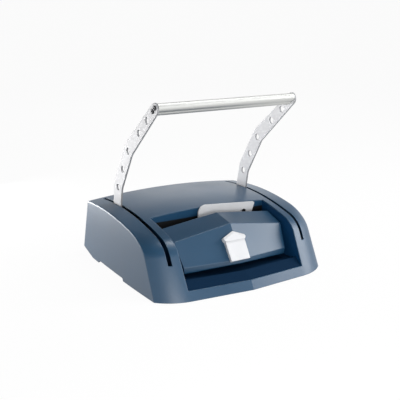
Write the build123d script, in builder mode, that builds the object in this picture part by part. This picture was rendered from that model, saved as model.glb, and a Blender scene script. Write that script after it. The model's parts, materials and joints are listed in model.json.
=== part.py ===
from build123d import *
import os
from math import atan2, cos, degrees, hypot, radians, sin

# A desk press that clamps a metal binding channel onto a stack of sheets.  A U-shaped
# handle turns a cross shaft; two cams on the shaft push a moving jaw against a fixed one.
#
# Frame: millimetres, +X to the operator's right, +Y to the back, +Z up.  The origin is on
# the table, midway between the machine's sides and between its front and back.
# Heights are above the table.  Sizes that are "half" are measured from the middle plane.

os.makedirs("parts", exist_ok=True)


def keep(shape, name):
    """Label one finished piece and write its file."""
    shape.label = name
    export_step(shape, f"parts/{name}.step")


# ---------------------------------------------------------------- driving sizes
# What the press takes: covers with a channel on their long side
cover_length = 304
cover_side_room = 5
spine_gap = 22              # between the jaws as the handle stands at rest

# Casing: a crowned top that rolls over into a leaning front, bowed in plan
casing_wall = 3
casing_depth = 448
band_width = 63             # from the recess to the casing's upper side edge
top_height = 158            # at the crown
top_radius = 800            # along the depth
crown_radius = 1800         # across the width
top_apex_y = 88
shoulder_radius = 62        # where the top rolls into the front
front_lean = 0.52           # how far the front leans back for each millimetre up
facet_sweep = 0.087         # the front's two flat facets sweep back from the middle
corner_inset = 70           # from the side to where a facet turns into the corner
corner_radius = 115         # in plan
corner_sweep = 48           # degrees of that corner before it runs straight, past the side
side_overhang = 7           # how far the sides stand out past the upper side edge at the foot
side_bulge = 7              # how far the sides bow outwards in plan
side_draft = 2              # degrees
back_lean = 0.246
back_foot_z = 14            # height at which the back is furthest out
edge_round = 3.6            # along the sides' upper and front edges
rim_reach = 24              # those edges lie within this of the upper side edge
rear_round = 3.4            # along the back's upper edge and its sides
edge_lift = 1               # rubber feet hold the casing this far off the table
grip_notch = (-24, 117, 7)  # hand hold under each side: front, back, height
undercut_run = 69           # how far before the back the underside begins to rise

# Recess between the two bands, open at the top and the front
recess_rear_y = -31
recess_draft = 1.65         # degrees, each cheek
lip_height = 21
rim_round = 1.2
cheek_wall = 3

# Handle: two bent flat arms, a shaft at one end and a grip bar at the other
pivot_y = 112
pivot_z = 60
arm_thickness = 4.5
arm_slot_width = 9
hub_length = 8              # holds an arm clear of its side frame
arm_slot_front_z = 72
arm_slot_rear_y = 174
elbow_low = (84.1, 199.6)
elbow_high = (22, 295.3)
bar_centre = (-107, 400)
arm_half_low = 19.5
arm_half_elbow = 18.5
arm_half_top = 13.5
arm_hole_radius = 8
handle_forward = 58         # degrees from rest to pressed
handle_back = 34            # degrees from rest to upright
shaft_radius = 10
lobe_radius = 9.5
lobe_pitch = 13
bar_web = 15.5
bar_screw_radius = 3
bar_screw_head = 5.5

# Mechanism
frame_thickness = 4
frame_gap = 4               # between a cheek and its side frame
base_bottom = 4
base_thickness = 2.5
bed_top = 58
bed_thickness = 6
jaw_depth = 16
jaw_top = 92
anvil_depth = 18
anvil_top = 96
anvil_rear_y = -61
cam_base = 40               # the cam's reach at rest
cam_rate = 14               # jaw travel in millimetres for each radian of the handle
cam_width = 14
cam_x = 90
cam_gap = 0.3
rod_radius = 8
pad_depth = 8
guide_bar_y = 27
guide_bar_depth = 20
bush_wall = 3
bush_flange = 4
bolt_radius = 2
bolt_head = 4
bolt_head_height = 3
slide_gap = 0.3
run_gap = 0.05              # radial, shafts in their bushes

# Spreader lever in the throat, and the release knob on the nose
lever_thickness = 4
lever_gap = 3               # between the lever and the throat's rear wall
lever_pivot = (96, 125)
lever_screw_radius = 3
knob_proud = 5.5
knob_travel = 12
knob_gap = 0.6

# ---------------------------------------------------------------- sizes that follow
front_y = -casing_depth / 2 - front_lean * edge_lift
back_y = casing_depth / 2
recess_half = cover_length / 2 + cover_side_room
casing_half = recess_half + band_width
undercut_start_y = back_y - undercut_run
front_run = hypot(1, front_lean)
facet_half = casing_half - corner_inset
frame_inner = recess_half + cheek_wall + frame_gap
frame_outer = frame_inner + frame_thickness
arm_inner = frame_outer + hub_length + 2 * slide_gap
arm_outer = arm_inner + arm_thickness
arm_x = (arm_inner + arm_outer) / 2
base_top = base_bottom + base_thickness


def roof_z(x, y):
    """Height of the crowned top over a point, where the shoulder hasn't begun."""
    drop_y = top_radius - (top_radius**2 - (y - top_apex_y) ** 2) ** 0.5
    across = crown_radius - drop_y
    return top_height - drop_y - across + (across**2 - x**2) ** 0.5


def casing_form(inset):
    """The casing's outer form with every face drawn in by the inset, as one solid."""
    shift = inset * front_run
    reach = casing_depth
    with BuildPart() as form:
        # One half of the front: a plan curve leaned straight back
        with BuildSketch(Plane.XY):
            with BuildLine():
                middle = (0, front_y + shift)
                facet = Line(middle, (facet_half, front_y + facet_half * facet_sweep + shift))
                corner = JernArc(facet @ 1, facet % 1, corner_radius, corner_sweep)
                flank = Line(corner @ 1, (corner @ 1) + (corner % 1) * casing_half)
                Polyline(flank @ 1, ((flank @ 1).X, reach), (0, reach), facet @ 0)
            make_face()
        extrude(amount=(top_height + shoulder_radius) * front_run, dir=(0, front_lean, 1))
        # The top: an arc along the depth, swung about a far axis for the cross crown
        along = top_radius - inset
        with BuildSketch(Plane.YZ):
            with BuildLine():
                roof = CenterArc((top_apex_y, top_height - top_radius), along, 65, 55)
                ends = (roof @ 0, roof @ 1)
                Polyline(ends[1], (ends[1].X, -top_height), (ends[0].X, -top_height), ends[0])
            make_face()
        swing = Axis((0, 0, top_height - crown_radius), (0, 1, 0))
        revolve(axis=swing, mode=Mode.INTERSECT)
        shoulder = form.edges().filter_by(
            lambda e: e.bounding_box().size.X > band_width
            and e.center().Z > top_height / 2
            and e.center().Y < back_y / 2
        )
        fillet(shoulder, radius=shoulder_radius - inset)
        # The sides: bowed in plan, with draft
        bulge = casing_half + side_overhang - inset
        with BuildSketch(Plane.XY):
            with BuildLine():
                side = ThreePointArc(
                    (bulge - 2 * side_bulge, -0.75 * reach),
                    (bulge, -0.09 * reach),
                    (bulge - 1.5 * side_bulge, 0.6 * reach),
                )
                Polyline(side @ 1, (0, 0.6 * reach), (0, -0.75 * reach), side @ 0)
            make_face()
            mirror(about=Plane.YZ)
        extrude(amount=top_height + shoulder_radius, taper=side_draft, mode=Mode.INTERSECT)
        if not inset:
            side_edges = form.edges().filter_by(
                lambda e: e.bounding_box().min.X > casing_half - rim_reach
                and e.bounding_box().size.Y > edge_round
                and e.bounding_box().size.Z > edge_round
                and edge_lift < e.center().Z
                and e.center().Y < back_y
            )
            fillet(side_edges, radius=edge_round)
        # The back leans in towards the top
        lean_run = hypot(1, back_lean)
        back_face = Plane(
            origin=(0, back_y - inset * lean_run, back_foot_z),
            x_dir=(1, 0, 0),
            z_dir=(0, 1, back_lean),
        )
        split(bisect_by=back_face, keep=Keep.BOTTOM)
        if not inset:
            rear = form.edges().filter_by(lambda e: e.center().Y > back_y - band_width)
            rear_top = rear.filter_by(lambda e: e.bounding_box().size.X > casing_half / 2)
            rear_side = rear.filter_by(
                lambda e: e.center().X > casing_half / 2
                and e.bounding_box().size.Z > top_height / 2
            )
            fillet(rear_top.sort_by(Axis.Z)[-1:] + rear_side, radius=rear_round)
        mirror(about=Plane.YZ)
    return form.part


# The casing's inner face, and the space that the parts inside it have
casing_inside = casing_form(casing_wall)
casing_room = casing_form(casing_wall + slide_gap)


def recess_prism(clear=0):
    """The recess between the bands: its cheeks draw in towards the table."""
    tilt = Plane.XZ.offset(-recess_rear_y - clear)
    half_top = recess_half + clear
    low = half_top - top_height * radians(recess_draft)
    with BuildPart() as prism:
        with BuildSketch(tilt):
            Polygon(
                (-low, 0), (low, 0), (half_top, top_height), (half_top, 2 * top_height),
                (-half_top, 2 * top_height), (-half_top, top_height), align=None,
            )
        extrude(amount=casing_depth)
    return prism.part


recess = recess_prism()

# ---------------------------------------------------------------- casing
# Moulded top casing: deck, two bands with the handle's slots, sides, back and front lip
post_spots = [
    (x, y) for x in (17 - casing_half, casing_half - 17) for y in (front_y + 150, back_y - 84)
]
post_radius = 4
post_hole = 1.6
flange_width = 16
flange_x = frame_outer - (flange_width + frame_thickness) / 2
flange_spots = [(x, y) for x in (-flange_x, flange_x) for y in (anvil_rear_y, pivot_y)]
with BuildPart() as top_casing:
    add(casing_form(0))
    # The recess breaks through the top and the front, down to the lip, with a soft rim
    above_lip = split(recess, bisect_by=Plane.XY.offset(lip_height), mode=Mode.PRIVATE)
    add(above_lip, mode=Mode.SUBTRACT)
    rim = top_casing.edges().filter_by(
        lambda e: sum(extent > edge_round for extent in e.bounding_box().size) > 1
        and e.bounding_box().min.Z > lip_height - 1
        and e.center().Y < recess_rear_y + 1
        and abs(e.center().X) < recess_half + 1
    )
    fillet(rim, radius=rim_round)
    add(casing_inside, mode=Mode.SUBTRACT)
    # Screw posts hang from the bands to the base plate
    for post_x, post_y in post_spots:
        with BuildSketch(Plane.XY.offset(base_top)):
            with Locations((post_x, post_y)):
                Circle(post_radius)
        extrude(amount=roof_z(post_x, post_y) - casing_wall / 2 - base_top)
    with BuildSketch(Plane.XY.offset(base_top)):
        with Locations(*post_spots):
            Circle(post_hole)
    extrude(amount=20, mode=Mode.SUBTRACT)
    # One slot in each band for the handle's arms
    slot_centre = (front_y + arm_slot_rear_y) / 2
    with BuildSketch(Plane.XY.offset(arm_slot_front_z)):
        with Locations((-arm_x, slot_centre), (arm_x, slot_centre)):
            Rectangle(arm_slot_width, arm_slot_rear_y - front_y)
    extrude(amount=top_height, mode=Mode.SUBTRACT)
    # Bottom edge: clear of the table, a hand hold in each side, tucked under at the back
    grip_front, grip_rear, grip_height = grip_notch
    with BuildSketch(Plane.YZ):
        Polygon(
            (2 * front_y, -1), (2 * front_y, edge_lift), (grip_front - 5, edge_lift),
            (grip_front, grip_height + edge_lift), (grip_rear - 6, grip_height + edge_lift),
            (grip_rear, edge_lift), (undercut_start_y, edge_lift),
            (back_y, back_foot_z), (2 * back_y, 3 * back_foot_z), (2 * back_y, -1), align=None,
        )
    extrude(amount=2 * casing_half, both=True, mode=Mode.SUBTRACT)
keep(top_casing.part, "top_casing")

# Base plate: folded steel that follows the tuck at the back
rise = (back_foot_z - edge_lift) / (back_y - undercut_start_y)
with BuildPart() as base_plate:
    with BuildSketch(Plane.YZ):
        with BuildLine():
            Polyline(
                (2 * front_y, base_bottom), (undercut_start_y, base_bottom),
                (2 * back_y, base_bottom + rise * (2 * back_y - undercut_start_y)),
            )
            offset(amount=base_thickness, side=Side.LEFT)
        make_face()
    extrude(amount=2 * casing_half, both=True)
    add(casing_room, mode=Mode.INTERSECT)
    with BuildSketch(Plane.XY):
        with Locations(*post_spots, *flange_spots):
            Circle(post_hole)
    extrude(amount=base_top, mode=Mode.SUBTRACT)
keep(base_plate.part, "base_plate")

# Rubber feet stuck under the base plate
foot_radius = 12
foot_x = casing_half - 45    # inward of the casing's upper side edge
foot_front_y = front_y + 68
foot_rear_y = back_y - 87
foot_spots = [(x, y) for x in (-foot_x, foot_x) for y in (foot_front_y, foot_rear_y)]
with BuildPart() as rubber_feet:
    with BuildSketch():
        with Locations(*foot_spots):
            Circle(foot_radius)
    extrude(amount=base_bottom)
    chamfer(rubber_feet.faces().filter_by(Axis.Z).group_by(Axis.Z)[0].edges(), edge_lift)
keep(rubber_feet.part, "rubber_feet")

# Side frames: two steel plates with a foot flange, standing on the base plate
frame_front_y = anvil_rear_y - anvil_depth - 17
frame_rear_y = pivot_y + 56
frame_bolts_at = [
    (anvil_rear_y - anvil_depth / 2, bed_top + 19),
    (guide_bar_y, pivot_z + cam_rate),
    (anvil_rear_y + 37, bed_top - bed_thickness / 2),
    (guide_bar_y - 16, bed_top - bed_thickness / 2),
    (pivot_y - 76, pivot_z + 58),
    (pivot_y + 34, pivot_z + 52),
]
bush_outer = shaft_radius + run_gap + bush_wall
with BuildPart() as side_frame_right:
    with BuildSketch(Plane.YZ.offset(frame_inner)) as plate:
        Polygon(
            (frame_front_y, base_top), (frame_front_y, anvil_top + 8), (anvil_rear_y, anvil_top + 20),
            (pivot_y - 70, pivot_z + 68), (pivot_y + 36, pivot_z + 68), (frame_rear_y, pivot_z + 50),
            (frame_rear_y, base_top + 20), (undercut_start_y - 1, base_top), align=None,
        )
        fillet(plate.vertices().filter_by(lambda v: v.Y > base_top + 1), radius=10)
    extrude(amount=frame_thickness)
    with BuildSketch(Plane.XY.offset(base_top)):
        with Locations((frame_outer, (frame_front_y + frame_rear_y) / 2)):
            Rectangle(flange_width, frame_rear_y - frame_front_y - 60, align=(Align.MAX, Align.CENTER))
    extrude(amount=frame_thickness)
    with BuildSketch(Plane.YZ.offset(frame_inner)):
        with Locations((pivot_y, pivot_z)):
            Circle(bush_outer)
        with Locations(*frame_bolts_at):
            Circle(bolt_radius)
        # Lightening windows
        with Locations((anvil_rear_y + 24, 31)):
            RectangleRounded(80, 24, 8)
        with Locations((pivot_y - 62, 31)):
            RectangleRounded(40, 24, 8)
    extrude(amount=frame_thickness, mode=Mode.SUBTRACT)
    with BuildSketch(Plane.XY.offset(base_top)):
        with Locations(*flange_spots):
            Circle(post_hole)
    extrude(amount=frame_thickness, mode=Mode.SUBTRACT)
keep(side_frame_right.part, "side_frame_right")
keep(mirror(side_frame_right.part, about=Plane.YZ), "side_frame_left")

# Screws up through the base plate into the casing's posts and the frames' flanges
screw_shank = post_hole - 0.1
with BuildPart() as base_screws:
    with BuildSketch(Plane.XY.offset(base_bottom - 2)):
        with Locations(*post_spots, *flange_spots):
            Circle(3.5)
    extrude(amount=2)
    with BuildSketch(Plane.XY.offset(base_bottom)):
        with Locations(*post_spots, *flange_spots):
            Circle(screw_shank)
    extrude(amount=10)
keep(base_screws.part, "base_screws")

# ---------------------------------------------------------------- recess lining
# Cheek: a tilted side wall under each band, stepped over the bed at the back
bed_front_y = anvil_rear_y - anvil_depth - 6
bed_rear_y = guide_bar_y + guide_bar_depth / 2 + 4
cheek_step_z = anvil_top + 2
cheek_front_z = base_top + 5
tilt_low = recess_half - top_height * radians(recess_draft)
with BuildPart() as cheek_right:
    with BuildSketch(Plane.XZ.offset(-recess_rear_y)):
        Polygon(
            (tilt_low, 0), (tilt_low + cheek_wall, 0), (recess_half + cheek_wall, top_height),
            (recess_half, top_height), align=None,
        )
    extrude(amount=casing_depth)
    add(casing_inside, mode=Mode.INTERSECT)
    with BuildSketch(Plane.YZ.offset(tilt_low - cheek_wall)):
        Polygon(
            (2 * front_y, -1), (2 * front_y, cheek_front_z), (bed_front_y - slide_gap, cheek_front_z),
            (bed_front_y - slide_gap, cheek_step_z), (back_y, cheek_step_z), (back_y, -1),
            align=None,
        )
    extrude(amount=band_width, mode=Mode.SUBTRACT)
keep(cheek_right.part, "cheek_right")
keep(mirror(cheek_right.part, about=Plane.YZ), "cheek_left")

# Rear wall of the throat, under the deck's front edge, with a boss for the lever's screw
wall_front = Plane.XZ.offset(-recess_rear_y)
lever_x, lever_z = lever_pivot
boss_radius = 7
boss_depth = 6
lever_foot = [(lever_x - 128.5, lever_z - 5), (lever_x + 20.5, lever_z - 15)]
lever_fall = (lever_foot[0][1] - lever_foot[1][1]) / (lever_foot[1][0] - lever_foot[0][0])
lever_pin_radius = 2.5
lever_pin_spot = (
    lever_foot[0][0] + 20,
    lever_foot[0][1] - 20 * lever_fall - (lever_pin_radius + slide_gap) * hypot(1, lever_fall),
)
with BuildPart() as throat_rear_wall:
    with BuildSketch(wall_front):
        with Locations((0, (cheek_step_z + top_height) / 2)):
            Rectangle(2 * recess_half, top_height - cheek_step_z)
    extrude(amount=-cheek_wall)
    with BuildSketch(wall_front.offset(-cheek_wall)):
        with Locations((lever_x, lever_z)):
            Circle(boss_radius)
    extrude(amount=-boss_depth)
    with BuildSketch(wall_front):
        with Locations((lever_x, lever_z)):
            Circle(lever_screw_radius)
        with Locations(lever_pin_spot):
            Circle(lever_pin_radius)
    extrude(amount=-cheek_wall - boss_depth, mode=Mode.SUBTRACT)
    add(casing_inside, mode=Mode.INTERSECT)
keep(throat_rear_wall.part, "throat_rear_wall")

with BuildPart() as lever_stop_pin:
    with BuildSketch(wall_front.offset(-cheek_wall - 1)):
        with Locations(lever_pin_spot):
            Circle(lever_pin_radius)
    extrude(amount=cheek_wall + 1 + lever_gap + lever_thickness + 1)
keep(lever_stop_pin.part, "lever_stop_pin")

# Tray behind the lip: a ramp, a floor under the nose and a back stop, swept with the front
ramp_top = (front_y + 35, 36.5)
tray_floor_z = 30
tray_wall = 2.5
tray_rear_y = bed_front_y - 3
lip_inner_y = front_y + front_lean * lip_height + casing_wall * front_run
with BuildPart() as front_tray:
    with BuildSketch(Plane.YZ):
        with BuildLine():
            Polyline(
                (lip_inner_y - front_lean * 8, lip_height - 8), (lip_inner_y, lip_height), ramp_top,
                (ramp_top[0] + 3, ramp_top[1]), (ramp_top[0] + 9, tray_floor_z),
                (tray_rear_y, tray_floor_z), (tray_rear_y, tray_floor_z + 16),
            )
            offset(amount=tray_wall, side=Side.RIGHT)
        make_face()
    extrude(amount=recess_half * hypot(1, facet_sweep), dir=(1, facet_sweep, 0))
    mirror(about=Plane.YZ)
    add(recess_prism(-slide_gap), mode=Mode.INTERSECT)
    add(casing_inside, mode=Mode.INTERSECT)
keep(front_tray.part, "front_tray")

# Nose: a faceted cover over the fixed jaw, ridged in the middle, as wide as the covers
nose_wall = 3
nose_round = 2
nose_half = recess_half - 10
nose_rear_y = anvil_rear_y - 5
nose_centre = [
    (nose_rear_y, 141), (front_y + 99, 130), (front_y + 51, 58), (front_y + 51, 47.5),
    (nose_rear_y, 47.5),
]
nose_end = [
    (nose_rear_y - 1, 123.5), (front_y + 102, 107), (front_y + 73, 55), (front_y + 74, 40),
    (nose_rear_y - 1, 40),
]
nose_draft = 0.14           # how far each end draws in for each millimetre down
nose_low_half = nose_half - nose_draft * (nose_end[0][1] - nose_end[-1][1])
bed_tongue_y = front_y + 80
bed_tongue_half = nose_low_half - nose_wall - 4


def nose_form(inset):
    """The nose's right half as one solid, with its long faces drawn in."""
    with BuildPart() as form:
        for x, corners in ((0, nose_centre), (nose_half, nose_end)):
            with BuildSketch(Plane.YZ.offset(x)):
                Polygon(*corners, align=None)
                if inset:
                    offset(amount=-inset, kind=Kind.INTERSECTION, mode=Mode.REPLACE)
        loft(ruled=True)
        end_face = Plane(
            origin=(nose_half - inset * hypot(1, nose_draft), 0, nose_end[0][1]),
            x_dir=(0, 1, 0),
            z_dir=(1, 0, -nose_draft),
        )
        split(bisect_by=end_face, keep=Keep.BOTTOM)
    return form.part


ridge_low = Vector(0, *nose_centre[2])
ridge_up = (Vector(0, *nose_centre[1]) - ridge_low).normalized()
ridge = Plane(origin=ridge_low, x_dir=(1, 0, 0), z_dir=(0, -ridge_up.Z, ridge_up.Y))
ridge_axis = Axis(ridge_low, ridge.z_dir)
knob_stem_half = 5.5
knob_stem_low = 12
knob_stem_high = 40
knob_block = 6
knob_lug_low = 70
nose_post_x = nose_low_half - 36
nose_posts = [(x, bed_tongue_y + 22) for x in (-nose_post_x, nose_post_x)]
with BuildPart() as nose_cover:
    add(nose_form(0))
    long_creases = nose_cover.edges().filter_by(
        lambda e: e.bounding_box().size.X > nose_half / 2 and e.center().Y < nose_rear_y - 20
    )
    fillet(long_creases, radius=nose_round)
    add(nose_form(nose_wall), mode=Mode.SUBTRACT)
    # Open underneath, behind the front's return
    with BuildSketch(Plane.XY):
        with Locations((0, bed_tongue_y - 2)):
            Rectangle(nose_low_half - nose_wall, casing_depth, align=(Align.MIN, Align.MIN))
    extrude(amount=bed_top, mode=Mode.SUBTRACT)
    # The back sits on the fixed jaw
    with BuildSketch(Plane.XY):
        with Locations((0, bed_front_y - slide_gap)):
            Rectangle(nose_half, casing_depth, align=(Align.MIN, Align.MIN))
    extrude(amount=anvil_top, mode=Mode.SUBTRACT)
    with BuildSketch(Plane.XY.offset(bed_top)):
        with Locations(nose_posts[1]):
            Circle(post_radius)
    post = extrude(amount=top_height, mode=Mode.PRIVATE)
    add(post & nose_form(nose_wall / 2))
    with BuildSketch(Plane.XY.offset(bed_top)):
        with Locations(nose_posts[1]):
            Circle(post_hole)
    extrude(amount=12, mode=Mode.SUBTRACT)
    mirror(about=Plane.YZ)
    # Slot along the ridge for the knob's stem
    with BuildSketch(ridge.offset(-3 * nose_wall)):
        with Locations((0, (knob_stem_low + knob_stem_high + knob_travel) / 2)):
            Rectangle(
                2 * (knob_stem_half + slide_gap),
                knob_stem_high - knob_stem_low + knob_travel + 2 * slide_gap,
            )
    extrude(amount=6 * nose_wall, mode=Mode.SUBTRACT)
    # Lug inside for the knob's spring
    with BuildSketch(ridge.offset(-nose_wall / 2)):
        with Locations((0, knob_lug_low)):
            Rectangle(4 * knob_stem_half, 4, align=(Align.CENTER, Align.MIN))
    extrude(amount=-nose_wall / 2 - 2 * slide_gap - 2 - knob_block)
keep(nose_cover.part, "nose_cover")

# ---------------------------------------------------------------- fixed press parts
# Bolts through the frames; the bars they enter are tapped to the same size
bolt_reach = 12
with BuildPart() as frame_bolts:
    with BuildSketch(Plane.YZ.offset(frame_outer)):
        with Locations(*frame_bolts_at):
            RegularPolygon(bolt_head, 6)
    extrude(amount=bolt_head_height)
    with BuildSketch(Plane.YZ.offset(frame_outer)):
        with Locations(*frame_bolts_at):
            Circle(bolt_radius)
    extrude(amount=-frame_thickness - bolt_reach)
    mirror(about=Plane.YZ)
keep(frame_bolts.part, "frame_bolts")

# Bed plate across the frames; its tongue carries the nose
bed_half = frame_inner
with BuildPart() as bed_plate:
    with BuildSketch(Plane.XY.offset(bed_top)):
        with Locations((0, (bed_front_y + bed_rear_y) / 2)):
            Rectangle(2 * bed_half, bed_rear_y - bed_front_y)
        with Locations((0, bed_tongue_y)):
            Rectangle(2 * bed_tongue_half, bed_front_y - bed_tongue_y, align=(Align.CENTER, Align.MIN))
    extrude(amount=-bed_thickness)
    with BuildSketch(Plane.XY.offset(bed_top)):
        with Locations(*nose_posts):
            Circle(post_hole)
    extrude(amount=-bed_thickness, mode=Mode.SUBTRACT)
    add(frame_bolts.part, mode=Mode.SUBTRACT)
keep(bed_plate.part, "bed_plate")

with BuildPart() as nose_screws:
    with BuildSketch(Plane.XY.offset(bed_top - bed_thickness - 2)):
        with Locations(*nose_posts):
            Circle(3.5)
    extrude(amount=2)
    with BuildSketch(Plane.XY.offset(bed_top - bed_thickness)):
        with Locations(*nose_posts):
            Circle(screw_shank)
    extrude(amount=bed_thickness + 10)
keep(nose_screws.part, "nose_screws")

# Fixed jaw: a steel bar with a lead-in along its upper rear edge
with BuildPart() as fixed_jaw:
    with BuildSketch(Plane.YZ):
        Polygon(
            (anvil_rear_y - anvil_depth, bed_top), (anvil_rear_y, bed_top),
            (anvil_rear_y, anvil_top - 8), (anvil_rear_y - 5, anvil_top),
            (anvil_rear_y - anvil_depth, anvil_top), align=None,
        )
    extrude(amount=bed_half, both=True)
    add(frame_bolts.part, mode=Mode.SUBTRACT)
keep(fixed_jaw.part, "fixed_jaw")

# Guide bar with a bush for each push rod
rod_z = pivot_z + cam_rate
rod_spots = [(-cam_x, rod_z), (cam_x, rod_z)]
rod_bush_outer = rod_radius + run_gap + bush_wall
guide_rear = Plane.XZ.offset(-guide_bar_y - guide_bar_depth / 2)
with BuildPart() as guide_bar:
    with BuildSketch(guide_rear):
        with Locations((0, bed_top)):
            Rectangle(2 * bed_half, 2 * (rod_z - bed_top), align=(Align.CENTER, Align.MIN))
    extrude(amount=guide_bar_depth)
    with BuildSketch(guide_rear):
        with Locations(*rod_spots):
            Circle(rod_bush_outer)
    extrude(amount=guide_bar_depth, mode=Mode.SUBTRACT)
    add(frame_bolts.part, mode=Mode.SUBTRACT)
keep(guide_bar.part, "guide_bar")

with BuildPart() as rod_bushes:
    with BuildSketch(guide_rear):
        with Locations(*rod_spots):
            Circle(rod_bush_outer)
            Circle(rod_radius + run_gap, mode=Mode.SUBTRACT)
    extrude(amount=guide_bar_depth)
keep(rod_bushes.part, "rod_bushes")

# Flanged bronze bushes carry the shaft in the frames
with BuildPart() as shaft_bushes:
    with BuildSketch(Plane.YZ.offset(frame_inner)):
        with Locations((pivot_y, pivot_z)):
            Circle(bush_outer)
    extrude(amount=frame_thickness + slide_gap)
    with BuildSketch(Plane.YZ.offset(frame_inner)):
        with Locations((pivot_y, pivot_z)):
            Circle(bush_outer + bush_flange)
    extrude(amount=-bush_wall)
    with BuildSketch(Plane.YZ):
        with Locations((pivot_y, pivot_z)):
            Circle(shaft_radius + run_gap)
    extrude(amount=casing_half, mode=Mode.SUBTRACT)
    mirror(about=Plane.YZ)
keep(shaft_bushes.part, "shaft_bushes")

# Tie rods hold the frames apart above the shaft
tie_radius = 5
tie_spots = frame_bolts_at[-2:]
with BuildPart() as tie_rods:
    with BuildSketch(Plane.YZ):
        with Locations(*tie_spots):
            Circle(tie_radius)
    extrude(amount=frame_inner, both=True)
    add(frame_bolts.part, mode=Mode.SUBTRACT)
keep(tie_rods.part, "tie_rods")

# ---------------------------------------------------------------- moving jaw
jaw_front_y = anvil_rear_y + spine_gap
jaw_half = cover_length / 2 + 2
pad_rear_y = pivot_y - cam_base - cam_gap
rod_seat = 8
with BuildPart() as moving_jaw:
    with BuildSketch(Plane.YZ):
        Polygon(
            (jaw_front_y, bed_top + slide_gap), (jaw_front_y + jaw_depth, bed_top + slide_gap),
            (jaw_front_y + jaw_depth, jaw_top), (jaw_front_y + 5, jaw_top),
            (jaw_front_y, jaw_top - 8), align=None,
        )
    extrude(amount=jaw_half, both=True)
    with BuildSketch(Plane.XZ.offset(-jaw_front_y - jaw_depth)):
        with Locations(*rod_spots):
            Circle(rod_radius)
    extrude(amount=rod_seat, mode=Mode.SUBTRACT)
keep(moving_jaw.part, "moving_jaw")

with BuildPart() as push_rods:
    with BuildSketch(Plane.XZ.offset(-jaw_front_y - jaw_depth + rod_seat)):
        with Locations(*rod_spots):
            Circle(rod_radius)
    extrude(amount=-(pad_rear_y - pad_depth - jaw_front_y - jaw_depth + rod_seat))
keep(push_rods.part, "push_rods")

with BuildPart() as follower_pads:
    with BuildSketch(Plane.XZ.offset(-pad_rear_y)):
        with Locations(*rod_spots):
            RectangleRounded(cam_width + 14, 2 * cam_rate, 3)
    extrude(amount=pad_depth)
keep(follower_pads.part, "follower_pads")

spring_wire = 2
spring_inner = rod_radius + 1
with BuildPart() as return_springs:
    with BuildSketch(guide_rear.offset(-slide_gap)):
        with Locations(*rod_spots):
            Circle(spring_inner + spring_wire)
            Circle(spring_inner, mode=Mode.SUBTRACT)
    spring_room = pad_rear_y - pad_depth - guide_bar_y - guide_bar_depth / 2
    extrude(amount=-(spring_room - 2 * slide_gap))
keep(return_springs.part, "return_springs")

# ---------------------------------------------------------------- handle
arm_path = [Vector(pivot_y, pivot_z), Vector(*elbow_low), Vector(*elbow_high), Vector(*bar_centre)]
arm_run = (arm_path[3] - arm_path[2]).normalized()
arm_angle = atan2(arm_run.Y, arm_run.X)
arm_tip = arm_path[3] + arm_run * (arm_half_top + 1)
arm_halves = (arm_half_low, arm_half_low, arm_half_elbow, arm_half_top)


def arm_edge(hand):
    """One long edge of the arm, offset from its bent centre line."""
    points = [*arm_path[:3], arm_tip]
    runs = [(b - a).normalized() for a, b in zip(points, points[1:])]
    edge = []
    for point, half, into, out in zip(points, arm_halves, runs[:1] + runs, runs + runs[-1:]):
        mitre = (into + out).normalized()
        normal = Vector(-mitre.Y, mitre.X)
        edge.append(point + normal * (hand * half / mitre.dot(into)))
    return edge


low_run = (arm_path[1] - arm_path[0]).normalized()
mid_run = (arm_path[2] - arm_path[1]).normalized()
arm_holes = [
    arm_path[1] - low_run * 7, arm_path[1] + mid_run * 50, arm_path[2] - mid_run * 6.6,
    arm_path[2] + arm_run * 70, arm_path[2] + arm_run * 121.5,
]
lobe_spots = [arm_path[3] + arm_run * (side * lobe_pitch / 2) for side in (-1, 1)]
bend_radii = {1: 25, -1: 80}    # along the arm's front edge and its back edge
hub_radius = 22
hub_screws_at = 17
with BuildPart() as arm_right:
    with BuildSketch(Plane.YZ.offset(arm_inner)) as outline:
        Polygon(*arm_edge(1), *reversed(arm_edge(-1)), align=None)
        tips = outline.vertices().sort_by(Axis.Y)[-2:]
        fillet(tips, radius=arm_half_top - 0.2)
        for hand, bend_radius in bend_radii.items():
            bends = [Vertex(p.X, p.Y, 0) for p in arm_edge(hand)[1:3]]
            elbows = [outline.vertices().sort_by_distance(bend)[0] for bend in bends]
            fillet(elbows, radius=bend_radius)
        with Locations((pivot_y, pivot_z)):
            Circle(hub_radius + 4)
        with Locations(*arm_holes):
            Circle(arm_hole_radius, mode=Mode.SUBTRACT)
        with Locations((pivot_y, pivot_z)):
            Circle(shaft_radius, mode=Mode.SUBTRACT)
            with PolarLocations(hub_screws_at, 3):
                Circle(bolt_radius, mode=Mode.SUBTRACT)
        with Locations(*lobe_spots):
            Circle(bar_screw_radius, mode=Mode.SUBTRACT)
    extrude(amount=arm_thickness)
keep(arm_right.part, "arm_right")
keep(mirror(arm_right.part, about=Plane.YZ), "arm_left")

# Rubber-sleeved posts on the frames stop the arms at both ends of their swing
buffer_radius = 6
buffer_spots = []
for swing_limit, hand, along in ((handle_forward, 1, 65), (-handle_back, -1, 65)):
    turned = low_run.rotate(Axis.Z, swing_limit)
    square = Vector(-turned.Y, turned.X) * (hand * (arm_half_low + buffer_radius + slide_gap))
    buffer_spots.append(arm_path[0] + turned * along + square)
with BuildPart() as stop_buffers:
    with BuildSketch(Plane.YZ.offset(frame_outer)):
        with Locations(*buffer_spots):
            Circle(buffer_radius)
    extrude(amount=arm_outer + 1.5 - frame_outer)
    mirror(about=Plane.YZ)
keep(stop_buffers.part, "stop_buffers")

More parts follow.
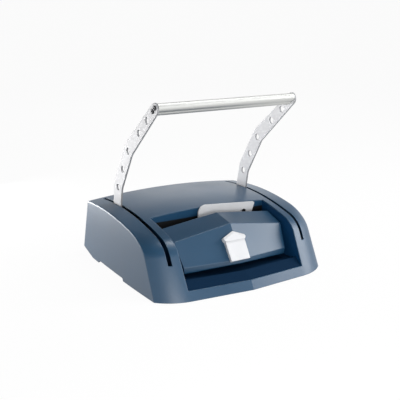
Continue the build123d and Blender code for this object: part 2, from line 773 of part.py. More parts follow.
# Grip bar: extruded aluminium with two lobes and a shallow groove between them
with BuildPart() as grip_bar:
    with BuildSketch(Plane.YZ):
        with Locations(*lobe_spots):
            Circle(lobe_radius)
        with Locations(Location((arm_path[3].X, arm_path[3].Y, 0), (0, 0, degrees(arm_angle)))):
            Rectangle(lobe_pitch, bar_web)
        with Locations(*lobe_spots):
            Circle(bar_screw_radius, mode=Mode.SUBTRACT)
    extrude(amount=arm_inner, both=True)
keep(grip_bar.part, "grip_bar")

with BuildPart() as bar_screws:
    with BuildSketch(Plane.YZ.offset(arm_outer)):
        with Locations(*lobe_spots):
            Circle(bar_screw_head)
    extrude(amount=bar_screw_radius)
    fillet(bar_screws.faces().sort_by(Axis.X)[-2:].edges(), radius=2)
    with BuildSketch(Plane.YZ.offset(arm_outer + bar_screw_radius)):
        with Locations(*lobe_spots):
            RegularPolygon(bar_screw_radius * 0.8, 6)
    extrude(amount=-2, mode=Mode.SUBTRACT)
    with BuildSketch(Plane.YZ.offset(arm_outer)):
        with Locations(*lobe_spots):
            Circle(bar_screw_radius)
    extrude(amount=-arm_thickness - bolt_reach)
    mirror(about=Plane.YZ)
keep(bar_screws.part, "bar_screws")

# Screws in the ends of the shaft, with wide heads that hold the arms on
with BuildPart() as shaft_end_screws:
    with Locations(Plane.YZ.offset(arm_outer).location * Location((pivot_y, pivot_z))):
        Cylinder(shaft_radius + 2, 3, align=(Align.CENTER, Align.CENTER, Align.MIN))
        Cylinder(3, bolt_reach, align=(Align.CENTER, Align.CENTER, Align.MAX))
    mirror(about=Plane.YZ)
keep(shaft_end_screws.part, "shaft_end_screws")

with BuildPart() as handle_shaft:
    with BuildSketch(Plane.YZ):
        with Locations((pivot_y, pivot_z)):
            Circle(shaft_radius)
    extrude(amount=arm_outer, both=True)
    add(shaft_end_screws.part, mode=Mode.SUBTRACT)
keep(handle_shaft.part, "handle_shaft")

# Hubs screwed to the arms' inner faces and keyed to the shaft
with BuildPart() as arm_hubs:
    with BuildSketch(Plane.YZ.offset(arm_inner)):
        with Locations((pivot_y, pivot_z)):
            Circle(hub_radius)
            Circle(shaft_radius, mode=Mode.SUBTRACT)
            with PolarLocations(hub_screws_at, 3):
                Circle(bolt_radius, mode=Mode.SUBTRACT)
    extrude(amount=-hub_length)
    mirror(about=Plane.YZ)
keep(arm_hubs.part, "arm_hubs")

with BuildPart() as hub_screws:
    with Locations(Plane.YZ.offset(arm_outer).location * Location((pivot_y, pivot_z))):
        with PolarLocations(hub_screws_at, 3):
            Cylinder(1.8 * bolt_radius, bolt_head_height, align=(Align.CENTER, Align.CENTER, Align.MIN))
            Cylinder(bolt_radius, arm_thickness + 6, align=(Align.CENTER, Align.CENTER, Align.MAX))
    mirror(about=Plane.YZ)
keep(hub_screws.part, "hub_screws")


def cam_point(angle):
    """A point of the cam's working face.  Its reach grows evenly with the handle's turn,
    so a flat pad in front of it moves by the same amount for each degree."""
    reach = cam_base + cam_rate * angle
    return (
        pivot_y - reach * cos(angle) + cam_rate * sin(angle),
        pivot_z + reach * sin(angle) + cam_rate * cos(angle),
    )


cam_spare = 6
cam_steps = 8
cam_from = -handle_back - cam_spare
cam_span = handle_forward + handle_back + 2 * cam_spare
cam_face = [cam_point(radians(cam_from + cam_span * n / cam_steps)) for n in range(cam_steps + 1)]
with BuildPart() as cams:
    with BuildSketch(Plane.YZ.offset(cam_x - cam_width / 2)):
        with BuildLine():
            working = Spline(*cam_face)
            Polyline(working @ 1, (pivot_y, pivot_z), working @ 0)
        make_face()
        with Locations((pivot_y, pivot_z)):
            Circle(hub_radius)
            Circle(shaft_radius, mode=Mode.SUBTRACT)
    extrude(amount=cam_width)
    mirror(about=Plane.YZ)
keep(cams.part, "cams")

# ---------------------------------------------------------------- spreader lever
# A white plate against the throat's rear wall: its left end lifts about the screw
lever_rear = wall_front.offset(lever_gap)
lever_front = lever_rear.offset(lever_thickness)
with BuildPart() as spreader_lever:
    with BuildSketch(lever_rear) as blade:
        Polygon(
            (lever_foot[0][0], lever_z + 30.5), (lever_x + 33, lever_z + 18), lever_foot[1],
            lever_foot[0], align=None,
        )
        fillet(blade.vertices().sort_by(Axis.Y)[-1:], radius=20)
        fillet(blade.vertices().sort_by(Axis.Y)[:2], radius=4)
        fillet(blade.vertices().sort_by(Axis.X)[-1:], radius=4)
        with Locations(lever_pivot):
            Circle(lever_screw_radius + run_gap, mode=Mode.SUBTRACT)
    extrude(amount=lever_thickness)
keep(spreader_lever.part, "spreader_lever")

with BuildPart() as lever_screw:
    with BuildSketch(lever_front.offset(slide_gap)):
        with Locations(lever_pivot):
            Circle(lever_screw_radius + 1.5)
    extrude(amount=2.5)
    with BuildSketch(lever_front.offset(slide_gap)):
        with Locations(lever_pivot):
            Circle(lever_screw_radius)
    extrude(amount=-(slide_gap + lever_thickness + lever_gap + cheek_wall + boss_depth))
keep(lever_screw.part, "lever_screw")

# ---------------------------------------------------------------- release knob
# A house-shaped slide that straddles the nose's ridge, with a finger ledge near the top
knob_low_half = 24.5
knob_high_half = 25.5
knob_ledge = 44
knob_roof_half = 28.5
knob_roof = 54
knob_peak = 66
knob_x = -4.5                # it sits a little to the left of the ridge
knob_vee = 0.115
block_top = nose_wall + 2.6
stem_middle = (knob_stem_low + knob_stem_high) / 2
knob_screw_pitch = 16
with BuildPart() as release_knob:
    with BuildSketch(ridge.offset(-8)):
        with Locations((knob_x, 0)):
            Polygon(
                (-knob_roof_half, knob_ledge + 5), (-knob_high_half, knob_ledge),
                (knob_high_half, knob_ledge), (knob_roof_half, knob_ledge + 5),
                (knob_roof_half, knob_roof), (0, knob_peak), (-knob_roof_half, knob_roof),
                align=None,
            )
    extrude(amount=8 + knob_proud + 3)
    gable = release_knob.faces().sort_by(ridge_axis)[-1].edges()
    chamfer(gable.sort_by(Axis.Z)[-2:], length=3, length2=5)
    with BuildSketch(ridge.offset(-8)):
        with Locations((knob_x, 0)):
            Polygon(
                (-knob_low_half, -2), (knob_low_half, -2), (knob_high_half, knob_ledge + 2),
                (-knob_high_half, knob_ledge + 2), align=None,
            )
    extrude(amount=8 + knob_proud)
    # The underside is a shallow vee that clears the nose's two facets
    with BuildSketch(Plane(ridge.origin - ridge_up * 10, x_dir=(1, 0, 0), z_dir=-ridge_up)) as vee:
        wide = 3 * knob_roof_half
        Polygon(
            (-wide, knob_gap - wide * knob_vee), (0, knob_gap), (wide, knob_gap - wide * knob_vee),
            (wide, -wide), (-wide, -wide), align=None,
        )
    extrude(amount=-2 * knob_peak, mode=Mode.SUBTRACT)
    # The stem passes through the slot in the nose
    with BuildSketch(ridge.offset(-block_top)):
        with Locations((0, stem_middle)):
            Rectangle(2 * knob_stem_half, knob_stem_high - knob_stem_low)
            with GridLocations(0, knob_screw_pitch, 1, 2):
                Circle(screw_shank, mode=Mode.SUBTRACT)
    extrude(amount=block_top + knob_gap + 0.5)
keep(release_knob.part, "release_knob")

# Block inside the nose that keeps the knob on, with the spring's end against its top
with BuildPart() as knob_retainer:
    with BuildSketch(ridge.offset(-block_top)):
        with Locations((0, stem_middle)):
            Rectangle(4 * knob_stem_half, knob_stem_high - knob_stem_low + 4)
            with GridLocations(0, knob_screw_pitch, 1, 2):
                Circle(screw_shank, mode=Mode.SUBTRACT)
    extrude(amount=-knob_block)
keep(knob_retainer.part, "knob_retainer")

with BuildPart() as knob_screws:
    with BuildSketch(ridge.offset(-block_top - knob_block)):
        with Locations((0, stem_middle)):
            with GridLocations(0, knob_screw_pitch, 1, 2):
                Circle(2 * screw_shank)
    extrude(amount=-1.5)
    with BuildSketch(ridge.offset(-block_top - knob_block)):
        with Locations((0, stem_middle)):
            with GridLocations(0, knob_screw_pitch, 1, 2):
                Circle(screw_shank)
    extrude(amount=knob_block + block_top)
keep(knob_screws.part, "knob_screws")

block_high = knob_stem_high + 2
with BuildPart() as knob_spring:
    spring_foot = Plane(
        ridge.origin + ridge_up * (block_high + slide_gap) - ridge.z_dir * (block_top + knob_block / 2),
        x_dir=(1, 0, 0),
        z_dir=ridge_up,
    )
    with BuildSketch(spring_foot):
        Circle(knob_block / 2)
        Circle(knob_block / 2 - 1, mode=Mode.SUBTRACT)
    extrude(amount=knob_lug_low - block_high - 2 * slide_gap)
keep(knob_spring.part, "knob_spring")
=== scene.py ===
import json
import math

import bmesh
import bpy
from mathutils import Matrix, Vector


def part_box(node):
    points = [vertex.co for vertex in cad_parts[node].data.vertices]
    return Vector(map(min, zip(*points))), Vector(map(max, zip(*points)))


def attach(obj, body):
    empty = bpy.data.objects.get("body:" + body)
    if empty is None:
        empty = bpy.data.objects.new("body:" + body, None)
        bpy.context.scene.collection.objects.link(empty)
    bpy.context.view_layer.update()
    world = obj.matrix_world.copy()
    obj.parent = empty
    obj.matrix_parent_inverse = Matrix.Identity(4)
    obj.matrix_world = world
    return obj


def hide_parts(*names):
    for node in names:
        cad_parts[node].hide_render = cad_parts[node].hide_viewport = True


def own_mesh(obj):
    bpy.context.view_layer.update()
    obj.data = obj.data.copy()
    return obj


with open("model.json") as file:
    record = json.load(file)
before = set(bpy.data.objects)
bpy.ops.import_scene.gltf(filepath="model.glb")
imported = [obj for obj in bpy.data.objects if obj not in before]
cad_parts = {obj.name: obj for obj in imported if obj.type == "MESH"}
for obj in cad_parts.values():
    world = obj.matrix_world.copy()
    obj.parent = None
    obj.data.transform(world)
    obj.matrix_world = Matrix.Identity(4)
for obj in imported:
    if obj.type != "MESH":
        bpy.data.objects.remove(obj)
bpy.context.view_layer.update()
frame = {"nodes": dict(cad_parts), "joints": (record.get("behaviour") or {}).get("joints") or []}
nodes = frame["nodes"]
scene = bpy.context.scene

# ------------------------------------------------------------------ camera
# The press is seen from its front left and from a little above.  The camera's place and
# lens are those that the edges of the recess and of the casing gave.
camera_place = (-0.881, -1.469, 0.618)
camera_down = 15.11      # degrees below the level
camera_turn = -30.8      # degrees about the upright, from looking straight back
camera_data = bpy.data.cameras.new("camera")
camera_data.sensor_width = 36
camera_data.lens = 66.15
camera = bpy.data.objects.new("camera", camera_data)
camera.location = camera_place
camera.rotation_euler = (math.radians(90 - camera_down), 0, math.radians(camera_turn))
scene.collection.objects.link(camera)
scene.camera = camera

# ------------------------------------------------------------------ room
# A round sweep of white paper under five soft boxes: a large one in front on the right,
# a narrow one overhead, a low one behind on the left for the side panel, a dim one far
# behind on the right for the deck, and a small low one in front.
scene.view_settings.view_transform = "Standard"


def linear(code):
    """The linear colour that a shader takes, from an sRGB hex value."""
    parts = [int(code[i:i + 2], 16) / 255 for i in (1, 3, 5)]
    return (*(c / 12.92 if c <= 0.04045 else ((c + 0.055) / 1.055) ** 2.4 for c in parts), 1)


def add_node(tree, kind, settings=None, links=None):
    """Adds a shader node, sets its sockets and fields, and links sources to its sockets."""
    made = tree.nodes.new(kind)
    for name, value in (settings or {}).items():
        if isinstance(name, str) and hasattr(made, name):
            setattr(made, name, value)
        else:
            made.inputs[name].default_value = value
    for socket, source in (links or {}).items():
        tree.links.new(source, made.inputs[socket])
    return made


def new_finish(name):
    """An empty material and its node tree."""
    finish = bpy.data.materials.new(name)
    finish.use_nodes = True
    finish.node_tree.nodes.clear()
    return finish, finish.node_tree


world = bpy.data.worlds.new("studio")
scene.world = world
world.use_nodes = True
room = world.node_tree
room.nodes.clear()
glow = add_node(room, "ShaderNodeBackground", {"Color": linear("#ffffff"), "Strength": 0.2})
add_node(room, "ShaderNodeOutputWorld", None, {"Surface": glow.outputs["Background"]})

for name, place, aim, wide, high, watts in (
    ("lamp_right", (1.75, -0.95, 0.95), (0.1, -0.1, 0.1), 1.32, 1.32, 29),
    ("lamp_above", (0.50, -0.18, 2.0), (0, 0, 0.1), 0.22, 1.2, 17),
    ("lamp_left", (-0.58, 0.85, 0.15), (-0.23, 0.1, 0.09), 0.8, 0.26, 8),
    ("lamp_back", (1.55, 2.42, 1.10), (0, 0, 0.1), 1.25, 1.25, 3.9),
    ("lamp_front", (-0.38, -1.15, 0.27), (-0.18, -0.22, 0.04), 0.5, 0.24, 5.2),
):
    lamp_data = bpy.data.lights.new(name, "AREA")
    lamp_data.shape = "RECTANGLE"
    lamp_data.size = wide
    lamp_data.size_y = high
    lamp_data.energy = watts
    lamp = bpy.data.objects.new(name, lamp_data)
    lamp.location = place
    lamp.rotation_euler = (Vector(aim) - Vector(place)).to_track_quat("-Z", "Y").to_euler()
    lamp.visible_camera = False
    scene.collection.objects.link(lamp)

sweep_radius = 7.0
sweep_bend = 3.0
sweep_height = 3.4
bend_steps = 16
round_steps = 72
paper = bmesh.new()
middle = paper.verts.new((0, 0, 0))
bend_start = paper.verts.new((sweep_radius - sweep_bend, 0, 0))
paper.edges.new((middle, bend_start))
bend = bmesh.ops.spin(paper, geom=[bend_start], cent=(sweep_radius - sweep_bend, 0, sweep_bend),
                      axis=(0, -1, 0), angle=math.pi / 2, steps=bend_steps)
bend_end = bend["geom_last"][0]
wall_top = paper.verts.new((sweep_radius, 0, sweep_height))
paper.edges.new((bend_end, wall_top))
bmesh.ops.spin(paper, geom=paper.verts[:] + paper.edges[:], cent=(0, 0, 0), axis=(0, 0, 1),
               angle=math.tau, steps=round_steps, use_merge=True)
bmesh.ops.remove_doubles(paper, verts=paper.verts[:], dist=1e-5)
bmesh.ops.recalc_face_normals(paper, faces=paper.faces[:])
# The shell is open, so the paper's upper side may come out facing down
if sum(face.normal.z for face in paper.faces) < 0:
    bmesh.ops.reverse_faces(paper, faces=paper.faces[:])
for face in paper.faces:
    face.smooth = True
sweep_data = bpy.data.meshes.new("sweep")
paper.to_mesh(sweep_data)
paper.free()
sweep = bpy.data.objects.new("sweep", sweep_data)
scene.collection.objects.link(sweep)

# Seen straight, in metal or through glass, the paper is white.  A twentieth of what is
# seen is its lit face, which keeps the press's shadow.
white_share = 0.95
white_paper, tree = new_finish("white_paper")
ray = add_node(tree, "ShaderNodeLightPath")
seen = add_node(tree, "ShaderNodeMath", {"operation": "MAXIMUM"},
                {0: ray.outputs["Is Camera Ray"], 1: ray.outputs["Is Glossy Ray"]})
seen = add_node(tree, "ShaderNodeMath", {"operation": "MAXIMUM"},
                {0: seen.outputs[0], 1: ray.outputs["Is Transmission Ray"]})
share = add_node(tree, "ShaderNodeMath", {"operation": "MULTIPLY", 1: white_share},
                 {0: seen.outputs[0]})
matt = add_node(tree, "ShaderNodeBsdfDiffuse", {"Color": linear("#f4f4f4")})
lit = add_node(tree, "ShaderNodeEmission", {"Color": linear("#ffffff"), "Strength": 1.0})
both = add_node(tree, "ShaderNodeMixShader", None,
                {0: share.outputs[0], 1: matt.outputs[0], 2: lit.outputs[0]})
add_node(tree, "ShaderNodeOutputMaterial", None, {"Surface": both.outputs[0]})
sweep_data.materials.append(white_paper)

# ------------------------------------------------------------------ base
# The floor of the machine is zinc-plated sheet steel on four black rubber feet,
# held by screws from below.
mm = 0.001


def pattern(size):
    """The scale at which a texture's features are this many millimetres wide."""
    return 1 / (size * mm)


def dress(finish, *names):
    """Gives the CAD nodes this finish."""
    for name in names:
        for slot in nodes[name].material_slots:
            slot.material = finish


# Zinc passivate leaves a faint cloudy spangle about 11 mm across
zinc_plate, tree = new_finish("zinc_plated_steel")
coords = add_node(tree, "ShaderNodeTexCoord")
spangle = add_node(tree, "ShaderNodeTexNoise", {"Scale": pattern(11), "Detail": 4},
                   {"Vector": coords.outputs["Object"]})
tone = add_node(tree, "ShaderNodeMix",
                {"data_type": "RGBA", 6: linear("#a9acae"), 7: linear("#c3c6c8")},
                {0: spangle.outputs["Fac"]})
gloss = add_node(tree, "ShaderNodeMapRange", {"To Min": 0.32, "To Max": 0.5},
                 {"Value": spangle.outputs["Fac"]})
skin = add_node(tree, "ShaderNodeBsdfPrincipled", {"Metallic": 1.0},
                {"Base Color": tone.outputs[2], "Roughness": gloss.outputs[0]})
add_node(tree, "ShaderNodeOutputMaterial", None, {"Surface": skin.outputs[0]})
dress(zinc_plate, "base_plate")

# Moulded rubber is matt, with fine pores, drawn at 0.7 mm so that they show
black_rubber, tree = new_finish("moulded_black_rubber")
coords = add_node(tree, "ShaderNodeTexCoord")
pores = add_node(tree, "ShaderNodeTexNoise", {"Scale": pattern(0.7), "Detail": 3},
                 {"Vector": coords.outputs["Object"]})
bump = add_node(tree, "ShaderNodeBump", {"Strength": 0.25, "Distance": 0.3 * mm},
                {"Height": pores.outputs["Fac"]})
skin = add_node(tree, "ShaderNodeBsdfPrincipled",
                {"Base Color": linear("#1d1d1f"), "Roughness": 0.75}, {"Normal": bump.outputs[0]})
add_node(tree, "ShaderNodeOutputMaterial", None, {"Surface": skin.outputs[0]})
dress(black_rubber, "rubber_feet", "stop_buffers")

# Black oxide is a thin dark skin that shines like the steel under it, rubbed in patches
black_oxide, tree = new_finish("black_oxide_steel")
coords = add_node(tree, "ShaderNodeTexCoord")
rub = add_node(tree, "ShaderNodeTexNoise", {"Scale": pattern(2), "Detail": 2},
               {"Vector": coords.outputs["Object"]})
gloss = add_node(tree, "ShaderNodeMapRange", {"To Min": 0.3, "To Max": 0.5},
                 {"Value": rub.outputs["Fac"]})
skin = add_node(tree, "ShaderNodeBsdfPrincipled",
                {"Base Color": linear("#2a2b2e"), "Metallic": 0.85},
                {"Roughness": gloss.outputs[0]})
add_node(tree, "ShaderNodeOutputMaterial", None, {"Surface": skin.outputs[0]})
dress(black_oxide, "base_screws", "nose_screws", "frame_bolts", "hub_screws",
      "shaft_end_screws", "bar_screws", "knob_screws", "lever_screw")

# ------------------------------------------------------------------ press frame
# Two zinc-plated steel plates joined by a bed, a fixed jaw, a bar and two ground rods.
# The plates are laser cut and plated after cutting.
dress(zinc_plate, "side_frame_right", "side_frame_left", "arm_hubs", "knob_retainer")

# The bed, the fixed jaw and the bar behind it are stoved a satin black, so that nothing
# shines in the throat
black_paint, tree = new_finish("black_stoved_paint")
coords = add_node(tree, "ShaderNodeTexCoord")
runs = add_node(tree, "ShaderNodeTexNoise", {"Scale": pattern(4.5), "Detail": 2},
                {"Vector": coords.outputs["Object"]})
gloss = add_node(tree, "ShaderNodeMapRange", {"To Min": 0.4, "To Max": 0.6},
                 {"Value": runs.outputs["Fac"]})
skin = add_node(tree, "ShaderNodeBsdfPrincipled", {"Base Color": linear("#141517")},
                {"Roughness": gloss.outputs[0]})
add_node(tree, "ShaderNodeOutputMaterial", None, {"Surface": skin.outputs[0]})
dress(black_paint, "bed_plate", "fixed_jaw", "guide_bar")

# The moving jaw, the rods, the shaft and its cams are ground bright.  The marks run
# along the bars, drawn 0.4 mm apart so that they show
ground_steel, tree = new_finish("ground_bright_steel")
coords = add_node(tree, "ShaderNodeTexCoord")
lay = add_node(tree, "ShaderNodeMapping",
               {"Scale": (pattern(250), pattern(0.4), pattern(0.4))},
               {"Vector": coords.outputs["Object"]})
marks = add_node(tree, "ShaderNodeTexNoise", {"Scale": 1, "Detail": 2},
                 {"Vector": lay.outputs[0]})
bump = add_node(tree, "ShaderNodeBump", {"Strength": 0.15, "Distance": 0.1 * mm},
                {"Height": marks.outputs["Fac"]})
skin = add_node(tree, "ShaderNodeBsdfPrincipled",
                {"Base Color": linear("#c4c4c6"), "Metallic": 1.0, "Roughness": 0.28},
                {"Normal": bump.outputs[0]})
add_node(tree, "ShaderNodeOutputMaterial", None, {"Surface": skin.outputs[0]})
dress(ground_steel, "moving_jaw", "push_rods", "follower_pads", "tie_rods",
      "handle_shaft", "cams", "lever_stop_pin")

# Sintered bronze is dull and grainy.  Its grains are near 0.1 mm, drawn at 0.4 mm
bronze, tree = new_finish("sintered_bronze")
coords = add_node(tree, "ShaderNodeTexCoord")
grains = add_node(tree, "ShaderNodeTexVoronoi", {"Scale": pattern(0.4)},
                  {"Vector": coords.outputs["Object"]})
gloss = add_node(tree, "ShaderNodeMapRange", {"To Min": 0.35, "To Max": 0.6},
                 {"Value": grains.outputs["Distance"]})
skin = add_node(tree, "ShaderNodeBsdfPrincipled",
                {"Base Color": linear("#a8834f"), "Metallic": 1.0},
                {"Roughness": gloss.outputs[0]})
add_node(tree, "ShaderNodeOutputMaterial", None, {"Surface": skin.outputs[0]})
dress(bronze, "shaft_bushes", "rod_bushes")

# ------------------------------------------------------------------ springs
# Two coils of hard-drawn wire on the push rods bring the jaw back, and a small one
# above the knob's block brings the knob down.  Their end turns are closed.
wire_sides = 10
steps_per_turn = 24

# Drawn wire is bright under its oil, in patches a millimetre or so wide
spring_wire, tree = new_finish("oiled_spring_steel")
coords = add_node(tree, "ShaderNodeTexCoord")
draw_marks = add_node(tree, "ShaderNodeTexNoise", {"Scale": pattern(1.1), "Detail": 2},
                      {"Vector": coords.outputs["Object"]})
tone = add_node(tree, "ShaderNodeMix",
                {"data_type": "RGBA", 6: linear("#8c8d90"), 7: linear("#b3b4b6")},
                {0: draw_marks.outputs["Fac"]})
gloss = add_node(tree, "ShaderNodeMapRange", {"To Min": 0.22, "To Max": 0.4},
                 {"Value": draw_marks.outputs["Fac"]})
skin = add_node(tree, "ShaderNodeBsdfPrincipled", {"Metallic": 1.0},
                {"Base Color": tone.outputs[2], "Roughness": gloss.outputs[0]})
add_node(tree, "ShaderNodeOutputMaterial", None, {"Surface": skin.outputs[0]})


def wind(name, node, body, feet, axis, length, coil_radius, wire_radius, turns):
    """One piece of coil springs that stands for a CAD node: a wire wound from each foot
    along the axis, with a closed turn at both ends."""
    # The wire's round section is made flat on the table, then stood in the coil's plane
    across = Vector((1, 0, 0))
    section = Matrix((across, axis, across.cross(axis))).transposed().to_4x4()
    wound = bmesh.new()
    for foot in feet:
        start = foot + axis * wire_radius
        ring = bmesh.ops.create_circle(wound, segments=wire_sides, radius=wire_radius)["verts"]
        bmesh.ops.transform(wound, matrix=section, verts=ring)
        bmesh.ops.translate(wound, verts=ring, vec=start + across * (coil_radius - wire_radius))
        end = ring + list({edge for vert in ring for edge in vert.link_edges})
        for climb, rounds in ((0, 1), (length - 2 * wire_radius, turns), (0, 1)):
            steps = steps_per_turn * rounds
            made = bmesh.ops.spin(wound, geom=end, cent=start, axis=axis,
                                  dvec=axis * (climb / steps), angle=math.tau * rounds,
                                  steps=steps)
            end = made["geom_last"]
    bmesh.ops.holes_fill(wound, edges=[edge for edge in wound.edges if edge.is_boundary])
    bmesh.ops.recalc_face_normals(wound, faces=wound.faces[:])
    for face in wound.faces:
        face.smooth = True
    data = bpy.data.meshes.new(name)
    wound.to_mesh(data)
    wound.free()
    data.materials.append(spring_wire)
    spring = bpy.data.objects.new(name, data)
    scene.collection.objects.link(spring)
    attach(spring, body)
    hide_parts(node)
    return spring


# Each rides on what it pushes
joints = {joint["name"]: joint for joint in frame["joints"]}
low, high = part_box("return_springs")
coil_radius = (high.z - low.z) / 2
length = high.y - low.y
back = Vector((0, 1, 0))
feet = [Vector((x, low.y, (low.z + high.z) / 2))
        for x in (low.x + coil_radius, high.x - coil_radius)]
rod_coils = wind("return_spring_coils", "return_springs", "jaw", feet, back, length,
                 coil_radius, wire_radius=1 * mm, turns=4)
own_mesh(rod_coils)

# The knob's spring leans as the nose's ridge does, so its box is larger than it is long
low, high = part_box("knob_spring")
coil_radius = (high.x - low.x) / 2
up = Vector(joints["knob_slide"]["axis"]).normalized()
length = (high.z - low.z - 2 * coil_radius * up.y) / up.z
foot = (low + high) / 2 - up * (length / 2)
knob_coil = wind("knob_spring_coil", "knob_spring", "knob", [foot], up, length,
                 coil_radius, wire_radius=0.5 * mm, turns=9)
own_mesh(knob_coil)

# ------------------------------------------------------------------ casing
# The top casing and the nose are injection mouldings in navy ABS.  Their tools were
# spark eroded, so the skin has a fine even grain, and long use has rubbed it faintly in
# patches.  The edges are drawn paler, a painted highlight.
for finish_name, edge_round, piece in (
    ("textured_navy_abs", 1.2 * mm, "top_casing"),
    ("textured_navy_abs_nose", 3 * mm, "nose_cover"),
):
    navy_abs, tree = new_finish(finish_name)
    coords = add_node(tree, "ShaderNodeTexCoord")
    # Spark-erosion grain is about 0.1 mm; drawn at 0.7 mm so that it shows
    grain = add_node(tree, "ShaderNodeTexNoise",
                     {"Scale": pattern(0.7), "Detail": 3, "Roughness": 0.6},
                     {"Vector": coords.outputs["Object"]})
    # Hands leave rubbed patches about 110 mm across
    flow = add_node(tree, "ShaderNodeTexNoise",
                    {"Scale": pattern(110), "Detail": 4, "Roughness": 0.55},
                    {"Vector": coords.outputs["Object"]})
    # Moulded edges are never sharp.  They are also drawn a little paler, a painted
    # highlight along the rounded edges
    soft = add_node(tree, "ShaderNodeBevel", {"samples": 6, "Radius": edge_round})
    flat = add_node(tree, "ShaderNodeNewGeometry")
    turned = add_node(tree, "ShaderNodeVectorMath", {"operation": "DOT_PRODUCT"},
                      {0: soft.outputs[0], 1: flat.outputs["Normal"]})
    # Paler towards the rounded edges: the mask of the painted highlight
    painted_edge_highlight = add_node(tree, "ShaderNodeMapRange",
                      {"From Min": 0.99, "From Max": 0.85, "To Min": 0.0, "To Max": 0.15},
                      {"Value": turned.outputs["Value"]})
    tone = add_node(tree, "ShaderNodeMix",
                    {"data_type": "RGBA", 6: linear("#0b3c5b"), 7: linear("#0f4464")},
                    {0: flow.outputs["Fac"]})
    # The flow tone, with the painted edge highlight laid over it
    flow_tone_and_edge_highlight = add_node(tree, "ShaderNodeMix", {"data_type": "RGBA", 7: linear("#5f7f9c")},
                    {0: painted_edge_highlight.outputs[0], 6: tone.outputs[2]})
    bump = add_node(tree, "ShaderNodeBump", {"Strength": 0.1, "Distance": 0.2 * mm},
                    {"Height": grain.outputs["Fac"], "Normal": soft.outputs[0]})
    gloss = add_node(tree, "ShaderNodeMapRange", {"To Min": 0.32, "To Max": 0.44},
                     {"Value": flow.outputs["Fac"]})
    skin = add_node(tree, "ShaderNodeBsdfPrincipled",
                    {"IOR": 1.54, "Specular IOR Level": 0.75},
                    {"Base Color": flow_tone_and_edge_highlight.outputs[2], "Roughness": gloss.outputs[0],
                     "Normal": bump.outputs[0]})
    add_node(tree, "ShaderNodeOutputMaterial", None, {"Surface": skin.outputs[0]})
    dress(navy_abs, piece)

# ------------------------------------------------------------------ recess lining
# Cheeks and rear wall are moulded in navy ABS with the casing's grain.  The lower part
# of the rear wall is drawn near black and rougher, a painted shade for the deep throat.
painted_shade_top = 129.5 * mm
painted_shade_fade = 2.5 * mm
lining_abs, tree = new_finish("navy_abs_painted_throat_shade")
coords = add_node(tree, "ShaderNodeTexCoord")
grain = add_node(tree, "ShaderNodeTexNoise",
                 {"Scale": pattern(0.7), "Detail": 3, "Roughness": 0.6},
                 {"Vector": coords.outputs["Object"]})
bump = add_node(tree, "ShaderNodeBump", {"Strength": 0.12, "Distance": 0.2 * mm},
                {"Height": grain.outputs["Fac"]})
where = add_node(tree, "ShaderNodeSeparateXYZ", None, {0: coords.outputs["Object"]})
# Near black below this height: the painted shade of the throat
painted_shade = add_node(tree, "ShaderNodeMapRange",
                 {"From Min": painted_shade_top, "From Max": painted_shade_top - painted_shade_fade},
                 {"Value": where.outputs["Z"]})
tone = add_node(tree, "ShaderNodeMix",
                {"data_type": "RGBA", 6: linear("#0f3f60"), 7: linear("#05080c")},
                {0: painted_shade.outputs[0]})
gloss = add_node(tree, "ShaderNodeMapRange", {"To Min": 0.5, "To Max": 0.95},
                 {"Value": painted_shade.outputs[0]})
skin = add_node(tree, "ShaderNodeBsdfPrincipled", {"IOR": 1.5, "Specular IOR Level": 0.3},
                {"Base Color": tone.outputs[2], "Roughness": gloss.outputs[0],
                 "Normal": bump.outputs[0]})
add_node(tree, "ShaderNodeOutputMaterial", None, {"Surface": skin.outputs[0]})
dress(lining_abs, "throat_rear_wall")

# The cheeks shine less than the casing, so they stay dark beside the nose
cheek_abs, tree = new_finish("textured_deep_blue_abs")
coords = add_node(tree, "ShaderNodeTexCoord")
grain = add_node(tree, "ShaderNodeTexNoise",
                 {"Scale": pattern(0.7), "Detail": 3, "Roughness": 0.6},
                 {"Vector": coords.outputs["Object"]})
bump = add_node(tree, "ShaderNodeBump", {"Strength": 0.12, "Distance": 0.2 * mm},
                {"Height": grain.outputs["Fac"]})
skin = add_node(tree, "ShaderNodeBsdfPrincipled",
                {"Base Color": linear("#0c3d66"), "Roughness": 0.5, "IOR": 1.5,
                 "Specular IOR Level": 0.3},
                {"Normal": bump.outputs[0]})
add_node(tree, "ShaderNodeOutputMaterial", None, {"Surface": skin.outputs[0]})
dress(cheek_abs, "cheek_right", "cheek_left")

# ------------------------------------------------------------------ tray
# The tray behind the lip is a separate moulding in navy ABS with a matt, almost
# dry skin, because spare channels are slid over it.  Its colour is darkened, a painted
# shade under the nose.  Its grain is drawn at 0.9 mm.
tray_abs, tree = new_finish("matt_navy_abs_painted_shade")
coords = add_node(tree, "ShaderNodeTexCoord")
grain = add_node(tree, "ShaderNodeTexNoise",
                 {"Scale": pattern(0.9), "Detail": 3, "Roughness": 0.6},
                 {"Vector": coords.outputs["Object"]})
bump = add_node(tree, "ShaderNodeBump", {"Strength": 0.2, "Distance": 0.2 * mm},
                {"Height": grain.outputs["Fac"]})
# The base colour is darkened below the casing's: a painted shade under the nose
skin = add_node(tree, "ShaderNodeBsdfPrincipled",
                {"Base Color": linear("#02223c"), "Roughness": 0.75, "IOR": 1.45,
                 "Specular IOR Level": 0.1},
                {"Normal": bump.outputs[0]})
add_node(tree, "ShaderNodeOutputMaterial", None, {"Surface": skin.outputs[0]})
dress(tray_abs, "front_tray")

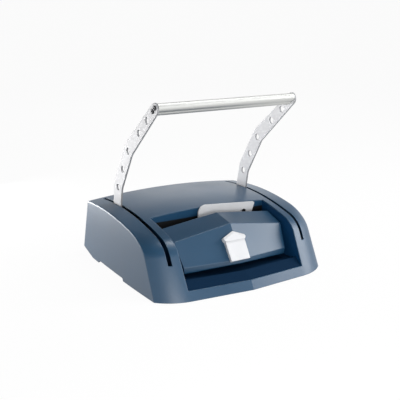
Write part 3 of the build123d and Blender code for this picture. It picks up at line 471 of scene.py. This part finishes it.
# ------------------------------------------------------------------ knob and plate
# The slide knob and the spreader plate are moulded in a near-white ABS without grain.
# The skin is satin, and the plastic's flow varies its white a little, 25 mm across.
white_abs, tree = new_finish("satin_white_abs")
coords = add_node(tree, "ShaderNodeTexCoord")
flow = add_node(tree, "ShaderNodeTexNoise", {"Scale": pattern(25), "Detail": 2},
                {"Vector": coords.outputs["Object"]})
tone = add_node(tree, "ShaderNodeMix",
                {"data_type": "RGBA", 6: linear("#d3d5d8"), 7: linear("#dbdcdf")},
                {0: flow.outputs["Fac"]})
skin = add_node(tree, "ShaderNodeBsdfPrincipled",
                {"Roughness": 0.45, "IOR": 1.54, "Specular IOR Level": 0.3},
                {"Base Color": tone.outputs[2]})
add_node(tree, "ShaderNodeOutputMaterial", None, {"Surface": skin.outputs[0]})
dress(white_abs, "release_knob", "spreader_lever")

# ------------------------------------------------------------------ handle arms
# Flat arms cut from steel sheet that was powder coated pale grey.
# The faces have the coat's slight orange peel, about 1.4 mm across.  The cut edges
# and the walls of the holes are drawn darker grey and a little metallic, a painted shade.
edge_metallic = 0.3
powder_coat, tree = new_finish("pale_powder_coat")
coords = add_node(tree, "ShaderNodeTexCoord")
peel = add_node(tree, "ShaderNodeTexNoise", {"Scale": pattern(1.4), "Detail": 2},
                {"Vector": coords.outputs["Object"]})
# A face looks left or right; a cut edge doesn't
facing = add_node(tree, "ShaderNodeSeparateXYZ", None, {0: coords.outputs["Normal"]})
across = add_node(tree, "ShaderNodeMath", {"operation": "ABSOLUTE"}, {0: facing.outputs["X"]})
cut = add_node(tree, "ShaderNodeMapRange", {"From Min": 0.75, "From Max": 0.45},
               {"Value": across.outputs[0]})
# Darker grey on the edges and the walls of the holes: a painted shade
tone = add_node(tree, "ShaderNodeMix",
                {"data_type": "RGBA", 6: linear("#e6e6e8"), 7: linear("#9c9da0")},
                {0: cut.outputs[0]})
metal = add_node(tree, "ShaderNodeMath", {"operation": "MULTIPLY", 1: edge_metallic},
                 {0: cut.outputs[0]})
bump = add_node(tree, "ShaderNodeBump", {"Strength": 0.04, "Distance": 0.2 * mm},
                {"Height": peel.outputs["Fac"]})
skin = add_node(tree, "ShaderNodeBsdfPrincipled", {"Roughness": 0.6, "Specular IOR Level": 0.3},
                {"Base Color": tone.outputs[2], "Metallic": metal.outputs[0],
                 "Normal": bump.outputs[0]})
add_node(tree, "ShaderNodeOutputMaterial", None, {"Surface": skin.outputs[0]})
dress(powder_coat, "arm_right", "arm_left")

# ------------------------------------------------------------------ grip bar
# A natural aluminium extrusion with two round lobes, screwed between the arms.  The die
# leaves fine lines along its length, about 0.3 mm apart, drawn at 0.8 mm.
mill_aluminium, tree = new_finish("extruded_aluminium")
coords = add_node(tree, "ShaderNodeTexCoord")
lay = add_node(tree, "ShaderNodeMapping",
               {"Scale": (pattern(330), pattern(0.8), pattern(0.8))},
               {"Vector": coords.outputs["Object"]})
lines = add_node(tree, "ShaderNodeTexNoise", {"Scale": 1, "Detail": 2},
                 {"Vector": lay.outputs[0]})
tone = add_node(tree, "ShaderNodeMix",
                {"data_type": "RGBA", 6: linear("#bfc0be"), 7: linear("#d2d3d1")},
                {0: lines.outputs["Fac"]})
bump = add_node(tree, "ShaderNodeBump", {"Strength": 0.1, "Distance": 0.1 * mm},
                {"Height": lines.outputs["Fac"]})
skin = add_node(tree, "ShaderNodeBsdfPrincipled", {"Metallic": 1.0, "Roughness": 0.55},
                {"Base Color": tone.outputs[2], "Normal": bump.outputs[0]})
add_node(tree, "ShaderNodeOutputMaterial", None, {"Surface": skin.outputs[0]})
dress(mill_aluminium, "grip_bar")
